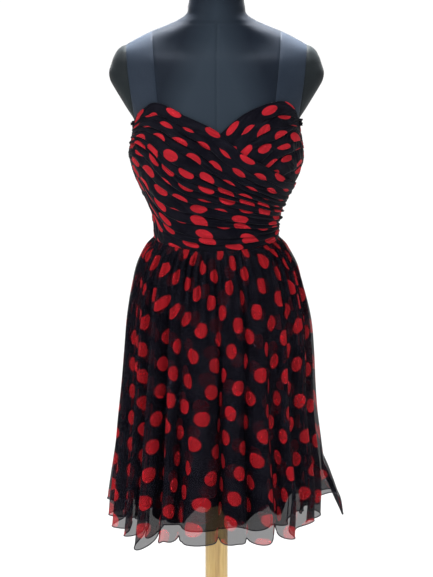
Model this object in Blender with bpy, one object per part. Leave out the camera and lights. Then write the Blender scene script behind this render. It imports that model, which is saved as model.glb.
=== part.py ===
"""A strapless dress, draped above the waist and gathered below it, on a limbless dress form with a stand.

Metres, +Z up. The front faces -Y, and +X is on the viewer's right.
The origin is on the floor, under the pole.
An angle round the body is in degrees: 0 at the front centre, 90 at the viewer's right side seam,
180 at the centre back. A lift is a distance out from the form's surface.
"""

import math

import bmesh
import bpy
import numpy as np

# Stand
BASE_RADIUS = 0.190
BASE_THICKNESS = 0.018
HUB_RADIUS = 0.048
HUB_TOP = 0.034
EDGE_ROUND = 0.004
POLE_RADIUS = 0.0225
STAND_SIDES = 32

# Seams and clearances
SEAM_GAP = 0.0003
CROSSING_GAP = 0.0006
WAIST_GAP = 0.0005
SEAM_HALF_ANGLE = 0.09

# Form: height, half width before the armholes are cut, depth in front and depth behind
FORM_SECTIONS = (
    (0.740, 0.1360, 0.088, 0.108),
    (0.800, 0.1430, 0.094, 0.113),
    (0.860, 0.1445, 0.096, 0.114),
    (0.920, 0.1400, 0.096, 0.108),
    (0.975, 0.1290, 0.094, 0.098),
    (1.020, 0.1190, 0.0893, 0.090),
    (1.045, 0.1145, 0.0895, 0.087),
    (1.066, 0.1135, 0.090, 0.087),
    (1.084, 0.1153, 0.091, 0.088),
    (1.100, 0.1208, 0.094, 0.091),
    (1.130, 0.1336, 0.099, 0.095),
    (1.160, 0.1480, 0.103, 0.098),
    (1.200, 0.1580, 0.106, 0.101),
    (1.225, 0.1575, 0.106, 0.103),
    (1.250, 0.1538, 0.104, 0.104),
    (1.268, 0.1540, 0.102, 0.104),
    (1.290, 0.1650, 0.098, 0.102),
    (1.315, 0.1800, 0.091, 0.100),
    (1.340, 0.1890, 0.083, 0.097),
    (1.365, 0.1880, 0.075, 0.093),
    (1.385, 0.1850, 0.067, 0.088),
    (1.402, 0.1760, 0.058, 0.080),
    (1.417, 0.1520, 0.053, 0.073),
    (1.432, 0.1220, 0.051, 0.068),
    (1.446, 0.0870, 0.051, 0.063),
    (1.461, 0.0590, 0.052, 0.057),
    (1.480, 0.0525, 0.050, 0.053),
    (1.530, 0.0500, 0.047, 0.049),
)
FORM_SIDES = 32
SECTION_POWER = 2.3
BUST_HEIGHT = 1.200
BUST_ACROSS = 0.072
BUST_REACH = 0.014
BUST_WIDTH = 0.045
BUST_TALL = 0.055

# Armholes: height, how far from the middle the flat plate stands, reach of the padded dome on it
ARMHOLES = (
    (1.262, 0.1540, 0.000),
    (1.272, 0.1535, 0.003),
    (1.283, 0.1545, 0.009),
    (1.298, 0.1560, 0.017),
    (1.313, 0.1580, 0.024),
    (1.328, 0.1600, 0.031),
    (1.343, 0.1620, 0.037),
    (1.358, 0.1640, 0.037),
    (1.373, 0.1655, 0.031),
    (1.388, 0.1668, 0.024),
    (1.402, 0.1675, 0.013),
    (1.410, 0.1680, 0.000),
)
DOME_POWER = 0.75

# Waist seam, where the bodice and all the skirt's layers meet; it dips in front
WAIST = 1.045
WAIST_DIP = 0.010
WAIST_DIP_TALL = 0.045
LAYER_WALL = 0.0010
LAYER_PITCH = 0.00135

# Bodice: a plain inside, and pleats raised on the outside
BODICE_LIFT = 0.0022
BODICE_WALL = 0.0014
PLEAT_HEIGHT = 0.0026
PLEAT_SKEW = 0.75
PLEAT_LOW_SHARE = 0.25
PLEAT_LOW_TALL = 0.020
BUNCH_HEIGHT = 0.0045
BUNCH_LEVEL = 1.195
BUNCH_TALL = 0.034
BUNCH_ANGLE = 15.0
BUNCH_WALL_SHARE = 0.4
PLEAT_SAMPLES = 3
WRAP_PLEATS = 14
WRAP_STEPS = 18
CUP_PLEATS = 7
CUP_STEPS = 8
BACK_PLEATS = 8
BACK_STEPS = 8
BACK_TOP_SIDE = 1.255
BACK_TOP_MIDDLE = 1.240
BACK_TOP_CURVE = 1.5
BACK_SAG = 0.006

# Each row is the line of one fold of the wrap: its share of the way from the top edge to the waist, then
# the angle and height of ten stations from the viewer's left side seam to the right one
WRAP_FOLDS = (
    (0.00, (-90, 1.256), (-69, 1.272), (-50, 1.294), (-35.5, 1.308), (-19, 1.285),
     (0.5, 1.258), (16, 1.221), (34, 1.193), (57, 1.163), (90, 1.147)),
    (0.17, (-90, 1.249), (-72, 1.258), (-54, 1.270), (-39, 1.267), (-25, 1.250),
     (-9, 1.229), (5, 1.197), (25, 1.162), (57, 1.131), (90, 1.124)),
    (0.34, (-90, 1.233), (-74, 1.238), (-58, 1.244), (-45, 1.234), (-33, 1.211),
     (-19, 1.192), (-2, 1.166), (22, 1.140), (56, 1.112), (90, 1.104)),
    (0.51, (-90, 1.216), (-75, 1.220), (-60, 1.222), (-46, 1.207), (-36, 1.179),
     (-22, 1.147), (-2, 1.132), (24, 1.117), (57, 1.098), (90, 1.088)),
    (0.68, (-90, 1.199), (-78, 1.195), (-67, 1.184), (-58, 1.158), (-49, 1.130),
     (-34, 1.112), (-12, 1.102), (20, 1.092), (57, 1.080), (90, 1.072)),
    (0.86, (-90, 1.168), (-84, 1.146), (-76, 1.116), (-64, 1.091), (-48, 1.076),
     (-29, 1.068), (-6, 1.065), (23, 1.064), (57, 1.062), (90, 1.061)),
    (1.00, (-90, WAIST), (-80, WAIST), (-68, WAIST), (-54, WAIST), (-38, WAIST),
     (-20, WAIST), (1, WAIST), (27, WAIST), (58, WAIST), (90, WAIST)),
)
NECK_STATION = 5 / 9

# Each row is the line of one fold of the cup: its share of the way down, where it starts as a share of the
# crossing edge, then the angle and height of four stations to the side seam
CUP_FOLDS = (
    (0.00, 0.00, (20, 1.294), (41, 1.310), (65, 1.278), (90, 1.255)),
    (0.22, 0.11, (25, 1.270), (44, 1.286), (66, 1.274), (90, 1.247)),
    (0.46, 0.24, (30, 1.243), (46, 1.256), (64, 1.258), (90, 1.237)),
    (0.70, 0.40, (39, 1.217), (53, 1.227), (69, 1.231), (90, 1.220)),
    (0.87, 0.60, (52, 1.190), (63, 1.195), (76, 1.198), (90, 1.196)),
)
CUP_LAST_START = 0.93
CUP_LAST_PLACES = 5

# Skirt, at the middle of the outer wall: height, half width, depth in front, depth behind, shift to the right
SKIRT_SECTIONS = (
    (0.478, 0.2000, 0.168, 0.196, 0.000),
    (0.548, 0.1975, 0.163, 0.189, 0.004),
    (0.616, 0.1910, 0.158, 0.181, 0.004),
    (0.682, 0.1850, 0.154, 0.174, 0.003),
    (0.748, 0.1805, 0.150, 0.167, 0.004),
    (0.813, 0.1775, 0.146, 0.160, 0.005),
    (0.878, 0.1730, 0.140, 0.150, 0.005),
    (0.942, 0.1615, 0.129, 0.134, 0.003),
    (0.990, 0.1490, 0.117, 0.119, 0.001),
    (1.010, 0.1400, 0.110, 0.110, 0.000),
    (1.030, 0.1290, 0.101, 0.100, 0.000),
    (1.045, 0.1182, 0.0937, 0.0907, 0.000),
)
HEM = 0.478
GROOVE_DEPTH = 0.018
GATHERS = 64
GATHER_HEIGHT = 0.0035
GATHER_START = 0.025
GATHER_END = 0.80
GATHER_FADE = 0.22
GATHER_WANDER = 40.0
GATHER_WANDER_TURNS = 4
LAYER_START = 0.035
SIDE_INSET = 0.006
SIDE_INSET_ANGLE = 28.0
DIRECTION_STEP = 0.8
FLUTE_NARROWING = 0.45
FLUTE_GROWTH = 0.8
HANG_GROWTH = 3

# Each flute runs from its groove to the next row's groove: groove angle, reach of its crest at the hem,
# where it also hangs lower by its drop
FLUTES = (
    (-98.0, 0.016, 0.002),
    (-82.0, 0.014, 0.004),
    (-60.0, 0.016, 0.001),
    (-47.5, 0.030, 0.012),
    (-34.5, 0.015, -0.003),
    (-22.5, 0.020, -0.008),
    (1.0, 0.018, -0.009),
    (18.0, 0.018, -0.005),
    (36.0, 0.015, -0.005),
    (48.0, 0.010, -0.020),
    (72.0, 0.010, -0.006),
    (84.0, 0.016, 0.002),
    (97.0, 0.018, 0.000),
    (112.0, 0.022, 0.003),
    (127.0, 0.016, 0.000),
    (143.0, 0.019, 0.004),
    (160.0, 0.014, 0.000),
    (176.0, 0.020, 0.003),
    (191.0, 0.015, 0.001),
    (207.0, 0.018, 0.004),
    (221.0, 0.024, 0.000),
    (234.0, 0.032, 0.002),
    (248.0, 0.030, -0.004),
)

# The lining's hem: angle, rise above the layer's lowest line
LINING_HEM = (
    (-88.0, 0.010),
    (-70.0, 0.012),
    (-57.0, 0.020),
    (-46.0, 0.024),
    (-38.0, 0.004),
    (-20.0, 0.003),
    (-11.0, 0.046),
    (3.0, 0.044),
    (9.0, 0.002),
    (18.0, 0.003),
    (25.0, 0.030),
    (33.0, 0.038),
    (41.0, 0.014),
    (48.0, 0.018),
    (57.0, 0.052),
    (75.0, 0.052),
    (90.0, 0.030),
    (108.0, 0.008),
    (130.0, 0.022),
    (150.0, 0.004),
    (172.0, 0.016),
    (195.0, 0.002),
    (218.0, 0.018),
    (240.0, 0.006),
    (258.0, 0.014),
)

# The side seam on the viewer's right kicks out in one narrow fold, and the hem rises on both sides of it
KICK_REACH = 0.036
KICK_HALF_ANGLE = 4.0
KICK_TOP = 0.575
KICK_RISE = 0.056
KICK_RISE_ANGLE = 7.6
KICK_STRIP_ANGLE = 1.2

# Layers: name, share of the flutes, inset near the waist and at the hem, rise of the hem, columns, rows
LAYERS = (
    ("outer", 1.00, 0.000, 0.000, 0.000, 192, (0.0, 0.03, 0.10, 0.25, 0.50, 0.82, 1.0)),
    ("second", 0.55, 0.008, 0.017, 0.022, 90, (0.0, 0.06, 0.17, 0.38, 1.0)),
    ("lining", 0.25, 0.012, 0.034, 0.026, 72, (0.0, 0.07, 0.18, 0.40, 1.0)),
)

# Colours: red, green and blue, then roughness
CHIFFON = (0.012, 0.012, 0.018, 0.75)
DOTTED = (0.10, 0.012, 0.018, 0.75)
LINING_CLOTH = (0.006, 0.006, 0.009, 0.55)
FORM_CLOTH = (0.035, 0.045, 0.065, 0.85)
PINE = (0.62, 0.45, 0.22, 0.45)


def clear_scene():
    for thing in list(bpy.data.objects):
        bpy.data.objects.remove(thing, do_unlink=True)


def material(name, look):
    made = bpy.data.materials.new(name)
    made.use_nodes = True
    shader = made.node_tree.nodes["Principled BSDF"]
    shader.inputs["Base Color"].default_value = (*look[:3], 1.0)
    shader.inputs["Roughness"].default_value = look[3]
    return made


def add_solid(name, points, faces, finish, sharp_angle=60.0):
    """Makes one object from points and faces, with every face turned out."""
    mesh = bpy.data.meshes.new(name)
    mesh.from_pydata([tuple(point) for point in points], [], [tuple(face) for face in faces])
    form = bmesh.new()
    form.from_mesh(mesh)
    bmesh.ops.recalc_face_normals(form, faces=form.faces)
    form.to_mesh(mesh)
    form.free()
    mesh.materials.append(finish)
    mesh.shade_smooth()
    mesh.set_sharp_from_angle(angle=math.radians(sharp_angle))
    made = bpy.data.objects.new(name, mesh)
    bpy.context.scene.collection.objects.link(made)
    return made


def wall(name, outside, inside, finish):
    """Closes the space between two matching grids of points, split along the same diagonals."""
    rows, columns = outside.shape[:2]
    points = np.concatenate([outside.reshape(-1, 3), inside.reshape(-1, 3)])
    out = np.arange(rows * columns).reshape(rows, columns)
    back = out + rows * columns
    faces = []
    for row in range(rows - 1):
        for column in range(columns - 1):
            for side, turn in ((out, 1), (back, -1)):
                corners = (
                    side[row, column],
                    side[row + 1, column],
                    side[row + 1, column + 1],
                    side[row, column + 1],
                )
                faces.append((corners[0], corners[1], corners[2])[::turn])
                faces.append((corners[0], corners[2], corners[3])[::turn])
    rim = [(0, column) for column in range(columns - 1)]
    rim += [(row, columns - 1) for row in range(rows - 1)]
    rim += [(rows - 1, column) for column in range(columns - 1, 0, -1)]
    rim += [(row, 0) for row in range(rows - 1, 0, -1)]
    for here, after in zip(rim, rim[1:] + rim[:1]):
        faces.append((out[here], out[after], back[after]))
        faces.append((out[here], back[after], back[here]))
    return add_solid(name, points, faces, finish)


def table(rows):
    """The rows as an array in rising order of their first column."""
    found = np.array(rows, dtype=float)
    return found[np.argsort(found[:, 0])]


def smooth(rows, at):
    """Reads every later column of a table at the first column's values, along a smooth curve."""
    knots = rows[:, 0]
    slopes = np.gradient(rows[:, 1:], knots, axis=0)
    at = np.clip(np.asarray(at, dtype=float), knots[0], knots[-1])
    low = np.clip(np.searchsorted(knots, at, side="right") - 1, 0, len(knots) - 2)
    step = knots[low + 1] - knots[low]
    share = ((at - knots[low]) / step)[..., None]
    step = step[..., None]
    value = (2 * share**3 - 3 * share**2 + 1) * rows[low, 1:]
    value = value + (share**3 - 2 * share**2 + share) * step * slopes[low]
    value = value + (3 * share**2 - 2 * share**3) * rows[low + 1, 1:]
    value = value + (share**3 - share**2) * step * slopes[low + 1]
    return np.moveaxis(value, -1, 0)


def waist_dip(angle, height):
    """How far the waist seam, and the cloth near it, hangs lower in front."""
    front = np.clip(np.cos(np.radians(angle)), 0, 1) ** 2
    return WAIST_DIP * front * np.exp(-(((height - WAIST) / WAIST_DIP_TALL) ** 2))


def section(angle, half_width, front, back):
    """A point round a rounded section, and the direction straight out of it."""
    turn = np.radians(angle)
    depth = np.where(np.cos(turn) > 0, front, back)
    across = half_width * np.sin(turn)
    along = depth * np.cos(turn)
    length = np.hypot(across, along)
    across, along = across / length, along / length
    power = SECTION_POWER
    reach = (np.abs(across / half_width) ** power + np.abs(along / depth) ** power) ** (-1 / power)
    x, y = reach * across, -reach * along
    out_x = np.sign(x) * (np.abs(x) / half_width) ** (power - 1) / half_width
    out_y = np.sign(y) * (np.abs(y) / depth) ** (power - 1) / depth
    size = np.hypot(out_x, out_y)
    return x, y, out_x / size, out_y / size


def bust(x, z):
    """How far the bust stands out to the front."""
    across = (np.abs(x) - BUST_ACROSS) / BUST_WIDTH
    up = (z - BUST_HEIGHT) / BUST_TALL
    return BUST_REACH * np.exp(-(across**2) - up**2)


def form_point(angle, height, lift=0.0):
    """A point on the form's surface, moved out by a lift; the armholes are flat under their domes."""
    angle, height = np.broadcast_arrays(np.asarray(angle, float), np.asarray(height, float))
    half_width, front, back = smooth(table(FORM_SECTIONS), height)
    x, y, out_x, out_y = section(angle, half_width, front, back)
    y = y - np.where(y < 0, bust(x, height) * np.clip(-out_y * 2, 0, 1), 0.0)
    x, y = x + lift * out_x, y + lift * out_y
    plate, reach = smooth(table(ARMHOLES), height)
    inside = (height > ARMHOLES[0][0]) & (height < ARMHOLES[-1][0]) & (np.abs(x) > plate)
    depth = np.where(y < 0, front, back)
    edge = depth * np.clip(1 - (plate / half_width) ** SECTION_POWER, 1e-6, 1) ** (1 / SECTION_POWER)
    dome = np.maximum(reach, 0) * np.clip(1 - (y / edge) ** 2, 0, 1) ** DOME_POWER
    x = np.where(inside, np.sign(x) * (plate + dome + lift), x)
    return np.stack([x, y, height], axis=-1)


def make_form(finish):
    angles = np.arange(FORM_SIDES) * 360 / FORM_SIDES - 180
    heights = [row[0] for row in FORM_SECTIONS]
    points = np.concatenate([form_point(angles, height) for height in heights])
    faces = []
    for ring in range(len(heights) - 1):
        for side in range(FORM_SIDES):
            after = (side + 1) % FORM_SIDES
            low, high = ring * FORM_SIDES, (ring + 1) * FORM_SIDES
            faces.append((low + side, low + after, high + after, high + side))
    faces.append(tuple(range(FORM_SIDES)))
    faces.append(tuple(range(len(points) - FORM_SIDES, len(points))))
    add_solid("form_body", points, faces, finish)


def turned(name, profile, finish):
    """A solid turned round the pole's axis from radius and height pairs, closed flat at both ends."""
    turns = np.arange(STAND_SIDES) * 2 * math.pi / STAND_SIDES
    points = [(r * math.cos(turn), r * math.sin(turn), z) for r, z in profile for turn in turns]
    faces = []
    for ring in range(len(profile) - 1):
        for side in range(STAND_SIDES):
            after = (side + 1) % STAND_SIDES
            low, high = ring * STAND_SIDES, (ring + 1) * STAND_SIDES
            faces.append((low + side, low + after, high + after, high + side))
    faces.append(tuple(range(STAND_SIDES)))
    faces.append(tuple(range(len(points) - STAND_SIDES, len(points))))
    add_solid(name, points, faces, finish, sharp_angle=30.0)


def make_stand(finish):
    top = BASE_THICKNESS
    turned(
        "base",
        (
            (BASE_RADIUS - EDGE_ROUND / 2, 0.0),
            (BASE_RADIUS, EDGE_ROUND / 2),
            (BASE_RADIUS, top - EDGE_ROUND),
            (BASE_RADIUS - EDGE_ROUND, top),
            (HUB_RADIUS + EDGE_ROUND, top),
            (HUB_RADIUS, top + EDGE_ROUND),
            (HUB_RADIUS, HUB_TOP - EDGE_ROUND),
            (HUB_RADIUS - EDGE_ROUND, HUB_TOP),
        ),
        finish,
    )
    foot = HUB_TOP + SEAM_GAP
    head = FORM_SECTIONS[0][0] - SEAM_GAP
    turned("pole", ((POLE_RADIUS, foot), (POLE_RADIUS, head)), finish)


def pleat_wave(share):
    """The height of one pleat across its width: a quick rise, a round top and a long fall."""
    return np.sin(math.pi * np.mod(share, 1.0) ** PLEAT_SKEW)


def bunching(angle, height):
    """The cloth is bunched at both side seams, at the level of the bust."""
    from_seam = (np.abs(np.abs(angle) - 90)) / BUNCH_ANGLE
    up = (height - BUNCH_LEVEL) / BUNCH_TALL
    return BUNCH_HEIGHT * np.exp(-(from_seam**2) - up**2)


def draped_panel(name, angle, height, pleats, finish):
    """A wall over the form whose rows follow the pleats; its outer points are raised by the pleats."""
    rows = angle.shape[0]
    share = np.linspace(0, pleats, rows)[:, None]
    edges = np.clip((height - WAIST) / PLEAT_LOW_TALL, PLEAT_LOW_SHARE, 1)
    raised = (PLEAT_HEIGHT + bunching(angle, height)) * pleat_wave(share) * edges
    raised = raised + BUNCH_WALL_SHARE * bunching(angle, height)
    height = height - waist_dip(angle, height)
    inside = form_point(angle, height, BODICE_LIFT)
    outside = form_point(angle, height, BODICE_LIFT + BODICE_WALL + raised)
    return wall(name, outside, inside, finish)


def along_stations(values, steps):
    """The angles and heights at evenly spaced steps through the angle and height pairs of one row."""
    pairs = np.reshape(values, (-1, 2))
    knots = np.linspace(0, 1, len(pairs))
    return smooth(np.column_stack([knots, pairs]), np.linspace(0, 1, steps + 1))


def wrap_grid():
    """The angles and heights of the wrap's points, a row for each line of a pleat."""
    folds = table([(fold[0], *(value for pair in fold[1:] for value in pair)) for fold in WRAP_FOLDS])
    shares = np.linspace(0, 1, WRAP_PLEATS * PLEAT_SAMPLES + 1)
    lines = [along_stations(smooth(folds, float(share)), WRAP_STEPS) for share in shares]
    angle, height = np.moveaxis(np.array(lines), 1, 0)
    angle[:, 0] += SEAM_HALF_ANGLE
    angle[:, -1] -= SEAM_HALF_ANGLE
    height[-1] += WAIST_GAP
    return angle, height


def crossing_point(share):
    """A point just above the wrap's crossing edge, from the low point of the neckline to the side seam."""
    angle, height = wrap_grid()
    stations = np.linspace(0, 1, WRAP_STEPS + 1)
    station = NECK_STATION + (1 - NECK_STATION) * np.asarray(share)
    return np.interp(station, stations, angle[0]), np.interp(station, stations, height[0]) + CROSSING_GAP


def cup_grid():
    """The angles and heights of the cup's points, a row for each line of a pleat, from the top edge down."""
    places = np.linspace(CUP_LAST_START, 1, CUP_LAST_PLACES)
    last = [value for share in places for value in crossing_point(share)]
    folds = []
    for fold in CUP_FOLDS:
        stations = [value for pair in fold[2:] for value in pair]
        folds.append((fold[0], *crossing_point(fold[1]), *stations))
    folds = table([*folds, (1.0, *last)])
    starts = table([*(fold[:2] for fold in CUP_FOLDS), (1.0, CUP_LAST_START)])
    lines = []
    for share in np.linspace(0, 1, CUP_PLEATS * PLEAT_SAMPLES + 1):
        line = smooth(folds, float(share))
        line[:2] = crossing_point(smooth(starts, float(share))[0])
        lines.append(along_stations(line, CUP_STEPS))
    angle, height = np.moveaxis(np.array(lines), 1, 0)
    angle[:, -1] = 90 - SEAM_HALF_ANGLE
    height[-1] = crossing_point(np.linspace(CUP_LAST_START, 1, CUP_STEPS + 1))[1]
    return angle, height


def back_grid(side):
    """A back panel, from its side seam to the centre back; side is 1 on the viewer's right."""
    shares = np.linspace(0, 1, BACK_PLEATS * PLEAT_SAMPLES + 1)[:, None]
    across = np.linspace(0, 1, BACK_STEPS + 1)[None, :]
    top = BACK_TOP_SIDE + (BACK_TOP_MIDDLE - BACK_TOP_SIDE) * across**BACK_TOP_CURVE
    low = WAIST + WAIST_GAP
    sag = BACK_SAG * np.sin(math.pi * shares) * np.sin(math.pi * across)
    height = top + (low - top) * shares - sag
    angle = 90 + SEAM_HALF_ANGLE + (90 - 2 * SEAM_HALF_ANGLE) * across + 0 * shares
    return side * angle, height


def make_bodice(finish):
    draped_panel("bodice_wrap", *wrap_grid(), WRAP_PLEATS, finish)
    draped_panel("bodice_cup", *cup_grid(), CUP_PLEATS, finish)
    draped_panel("bodice_back_right", *back_grid(1), BACK_PLEATS, finish)
    draped_panel("bodice_back_left", *back_grid(-1), BACK_PLEATS, finish)


def flute(angle):
    """How far round its flute an angle is, and that flute's width, reach and drop."""
    rows = table(FLUTES)
    turned_angle = np.mod(angle - rows[0, 0], 360) + rows[0, 0]
    found = np.searchsorted(rows[:, 0], turned_angle, side="right") - 1
    ends = np.append(rows[1:, 0], rows[0, 0] + 360)
    width = ends[found] - rows[found, 0]
    return (turned_angle - rows[found, 0]) / width, width, rows[found, 1], rows[found, 2]


def skirt_point(angle, down, layer):
    """A point on a skirt layer: down is 0 at the waist and 1 at the layer's hem."""
    name, flute_share, inset_waist, inset_hem, hem_rise, _, _ = layer
    order = [other[0] for other in LAYERS].index(name)
    across, width, reach, drop = flute(angle)
    crest = (1 - np.cos(2 * math.pi * across)) / 2
    height = WAIST - down * (WAIST - HEM - hem_rise)
    growth = np.clip((WAIST - height) / (WAIST - HEM), 0, 1) ** FLUTE_GROWTH
    near = np.clip((WAIST - height) / LAYER_START, 0, 1)
    half_width, front, back, shift = smooth(table(SKIRT_SECTIONS), height)
    nudged = angle - growth * FLUTE_NARROWING * width * np.sin(2 * math.pi * across) / (2 * math.pi)
    x, y, out_x, out_y = section(nudged, half_width, front, back)
    moved = growth * flute_share * ((reach + GROOVE_DEPTH) * crest - GROOVE_DEPTH)
    from_seam = np.mod(angle - 90 + 180, 360) - 180
    hang = growth**HANG_GROWTH
    fall = drop * crest * hang
    if name == "outer":
        gather = np.clip((WAIST - height) / GATHER_START, 0, 1)
        gather = gather * np.clip((height - GATHER_END) / GATHER_FADE, 0, 1)
        wander = GATHER_WANDER * np.sin(np.radians(GATHER_WANDER_TURNS * angle))
        moved = moved + gather * GATHER_HEIGHT * np.cos(np.radians(GATHERS * angle + wander))
        kicked = np.clip((KICK_TOP - height) / (KICK_TOP - HEM), 0, 1)
        moved = moved + KICK_REACH * kicked * np.exp(-((from_seam / KICK_HALF_ANGLE) ** 2))
        strip = np.exp(-((from_seam / KICK_STRIP_ANGLE) ** 2))
        fall = fall - KICK_RISE * hang * np.exp(-((from_seam / KICK_RISE_ANGLE) ** 2)) * (1 - strip)
    else:
        moved = moved - SIDE_INSET * growth * np.exp(-((from_seam / SIDE_INSET_ANGLE) ** 2))
    if name == "lining":
        angles, rises = np.array(LINING_HEM).T
        fall = -np.interp(angle, angles, rises, period=360) * hang
    inset = LAYER_PITCH * order + inset_waist * near + (inset_hem - inset_waist) * growth**2 * near
    moved = moved - inset
    low = height - fall - waist_dip(angle, height)
    return np.stack([x + shift + moved * out_x, y + moved * out_y, low], axis=-1)


def skirt_wall_point(angle, down, layer, lift):
    """A point on a skirt layer moved straight out of its level line by a lift."""
    after = skirt_point(angle + DIRECTION_STEP, down, layer)
    along = after - skirt_point(angle - DIRECTION_STEP, down, layer)
    length = np.hypot(along[..., 0], along[..., 1])
    points = skirt_point(angle, down, layer)
    points[..., 0] -= lift * along[..., 1] / length
    points[..., 1] += lift * along[..., 0] / length
    return points


def make_skirt(finishes):
    for layer in LAYERS:
        columns, rows = layer[5], layer[6]
        for half, middle in (("front", 0), ("back", 180)):
            reach = 90 - SEAM_HALF_ANGLE
            angles = middle + np.linspace(-reach, reach, columns // 2 + 1)
            angle, down = np.meshgrid(angles, rows)
            outside = skirt_wall_point(angle, down, layer, LAYER_WALL / 2)
            inside = skirt_wall_point(angle, down, layer, -LAYER_WALL / 2)
            wall(f"skirt_{layer[0]}_{half}", outside, inside, finishes[layer[0]])


def main():
    clear_scene()
    dotted = material("dotted chiffon", DOTTED)
    chiffon = material("plain chiffon", CHIFFON)
    lining = material("lining", LINING_CLOTH)
    make_stand(material("pine", PINE))
    make_form(material("form cloth", FORM_CLOTH))
    make_bodice(dotted)
    make_skirt({"outer": dotted, "second": chiffon, "lining": lining})


main()
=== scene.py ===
import math
from collections import namedtuple
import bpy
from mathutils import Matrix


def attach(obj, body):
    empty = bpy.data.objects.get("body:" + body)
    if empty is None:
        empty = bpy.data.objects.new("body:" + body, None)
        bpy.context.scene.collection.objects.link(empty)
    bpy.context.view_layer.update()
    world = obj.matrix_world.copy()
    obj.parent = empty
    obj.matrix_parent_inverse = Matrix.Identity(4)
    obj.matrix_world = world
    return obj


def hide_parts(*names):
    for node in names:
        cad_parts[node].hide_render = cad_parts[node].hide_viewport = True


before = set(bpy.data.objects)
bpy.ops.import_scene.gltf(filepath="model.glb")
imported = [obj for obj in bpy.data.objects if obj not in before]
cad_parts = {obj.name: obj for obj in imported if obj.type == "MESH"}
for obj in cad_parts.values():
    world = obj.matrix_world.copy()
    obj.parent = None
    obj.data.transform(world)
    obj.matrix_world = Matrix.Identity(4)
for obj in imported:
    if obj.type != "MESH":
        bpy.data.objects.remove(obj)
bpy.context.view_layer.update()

from types import SimpleNamespace

import bmesh
import bpy
import numpy as np
from mathutils import Vector

# Camera: its place, its tilt below the horizon, its lens and the width of its sensor
CAMERA_AT = (0.0, -2.85, 1.62)
CAMERA_TILT = 13.4
CAMERA_LENS = 94.5
CAMERA_SENSOR = 36.0

# Stand, in the sizes of its solids
BASE_RADIUS = 0.190
BASE_THICKNESS = 0.018
HUB_RADIUS = 0.048
HUB_TOP = 0.034
EDGE_ROUND = 0.004
POLE_RADIUS = 0.0225
SEAM_GAP = 0.0003
STAND_SIDES = 128
CORD_SIDES = 8

# Form: height, half width before the armholes are cut, depth in front and depth behind
FORM_SECTIONS = (
    (0.740, 0.1360, 0.088, 0.108),
    (0.800, 0.1430, 0.094, 0.113),
    (0.860, 0.1445, 0.096, 0.114),
    (0.920, 0.1400, 0.096, 0.108),
    (0.975, 0.1290, 0.094, 0.098),
    (1.020, 0.1190, 0.0893, 0.090),
    (1.045, 0.1145, 0.0895, 0.087),
    (1.066, 0.1135, 0.090, 0.087),
    (1.084, 0.1153, 0.091, 0.088),
    (1.100, 0.1208, 0.094, 0.091),
    (1.130, 0.1336, 0.099, 0.095),
    (1.160, 0.1480, 0.103, 0.098),
    (1.200, 0.1580, 0.106, 0.101),
    (1.225, 0.1575, 0.106, 0.103),
    (1.250, 0.1538, 0.104, 0.104),
    (1.268, 0.1540, 0.102, 0.104),
    (1.290, 0.1650, 0.098, 0.102),
    (1.315, 0.1800, 0.091, 0.100),
    (1.340, 0.1890, 0.083, 0.097),
    (1.365, 0.1880, 0.075, 0.093),
    (1.385, 0.1850, 0.067, 0.088),
    (1.402, 0.1760, 0.058, 0.080),
    (1.417, 0.1520, 0.053, 0.073),
    (1.432, 0.1220, 0.051, 0.068),
    (1.446, 0.0870, 0.051, 0.063),
    (1.461, 0.0590, 0.052, 0.057),
    (1.480, 0.0525, 0.050, 0.053),
    (1.530, 0.0500, 0.047, 0.049),
)
SECTION_POWER = 2.3
BUST_HEIGHT = 1.200
BUST_ACROSS = 0.072
BUST_REACH = 0.014
BUST_WIDTH = 0.045
BUST_TALL = 0.055

# Armholes: height, how far from the middle the flat plate stands, reach of the padded dome on it
ARMHOLES = (
    (1.262, 0.1540, 0.000),
    (1.272, 0.1535, 0.003),
    (1.283, 0.1545, 0.009),
    (1.298, 0.1560, 0.017),
    (1.313, 0.1580, 0.024),
    (1.328, 0.1600, 0.031),
    (1.343, 0.1620, 0.037),
    (1.358, 0.1640, 0.037),
    (1.373, 0.1655, 0.031),
    (1.388, 0.1668, 0.024),
    (1.402, 0.1675, 0.013),
    (1.410, 0.1680, 0.000),
)
DOME_POWER = 0.75
ARMHOLE_LIMIT = 6.0
CAP_TRIM = 0.004

# Form seams: half width, the turn it takes at a usual reach from the axis, depth
SEAM_SPREAD = 0.0016
FORM_REACH = 0.14
SEAM_TURN = math.degrees(SEAM_SPREAD / FORM_REACH)
SEAM_DEPTH = 0.0011

# Where the princess seams run: height, distance from the middle
PRINCESS_SEAM = (
    (0.740, 0.070),
    (1.045, 0.055),
    (1.200, 0.088),
    (1.310, 0.108),
    (1.360, 0.113),
    (1.400, 0.117),
    (1.435, 0.120),
    (1.446, 0.122),
)
NECK_SEAM = 1.452
FORM_ROWS = 260

# Columns of the form's mesh round one half, between both sides of each seam and armhole edge
FORM_COLUMNS = (1, 22, 1, 1, 12, 1, 1, 14, 1, 1, 12, 1, 1, 22, 1)

# The paler wedge on the form's front, a painted highlight where light falls down the chest: height of its
# tip, half width for each metre down
HIGHLIGHT_WEDGE_TOP = 1.445
HIGHLIGHT_WEDGE_SLOPE = 0.42

# Bodice: its waist, its walls' distances from the form and the bunching at both side seams
WAIST = 1.045
WAIST_DIP = 0.010
WAIST_DIP_TALL = 0.045
BODICE_LIFT = 0.0022
BODICE_WALL = 0.0014
PLEAT_HEIGHT = 0.0050
BUNCH_HEIGHT = 0.0045
BUNCH_LEVEL = 1.195
BUNCH_TALL = 0.034
BUNCH_ANGLE = 15.0
BUNCH_SPREAD = 0.4

# Turned-in top edge of a bodice panel: distance below the edge's line, distance from the form
TURNED_EDGE = (
    (0.0120, 0.0014),
    (0.0030, 0.0012),
    (-0.0006, 0.0019),
    (-0.0012, 0.0031),
    (-0.0004, 0.0042),
)
EDGE_LAP = 0.002

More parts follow.
